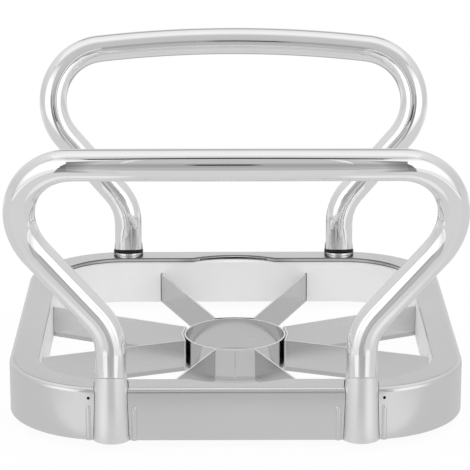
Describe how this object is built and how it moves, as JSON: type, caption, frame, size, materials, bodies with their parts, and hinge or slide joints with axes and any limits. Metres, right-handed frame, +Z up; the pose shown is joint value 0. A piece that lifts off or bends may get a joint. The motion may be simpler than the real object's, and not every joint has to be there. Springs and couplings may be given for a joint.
{
  "type": "potato wedge cutter",
  "caption": "Hand-pressed potato wedge cutter: rounded square frame, radial blades round a core ring, and bent tube handles along opposite sides.",
  "frame": {"origin": "under the middle of the frame, on the board that it stands on", "axes": "+Z up, +X along the handles, +Y from the front handle to the rear one"},
  "size_m": [0.149, 0.2, 0.102],
  "materials": {
    "satin_steel": "satin",
    "white_plastic": "semi-matte moulded",
    "blade_steel": "polished strip with a ground edge",
    "chrome": "mirror plated",
    "socket_metal": "satin cast",
    "black_rubber": "matt",
    "plain_steel": "plain zinc plated"
  },
  "bodies": {
    "root": {"frame": "satin_steel", "blade_carrier": "white_plastic", "core_ring": "blade_steel", "front_blades": "blade_steel", "right_blades": "blade_steel", "rear_blades": "blade_steel", "left_blades": "blade_steel", "front_handle": "chrome", "rear_handle": "chrome", "front_left_socket": "socket_metal", "front_right_socket": "socket_metal", "rear_left_socket": "socket_metal", "rear_right_socket": "socket_metal", "front_left_seal": "black_rubber", "front_right_seal": "black_rubber", "rear_left_seal": "black_rubber", "rear_right_seal": "black_rubber", "front_left_plug": "plain_steel", "front_right_plug": "plain_steel", "rear_left_plug": "plain_steel", "rear_right_plug": "plain_steel", "leg_screws": "plain_steel"}
  },
  "joints": []
}
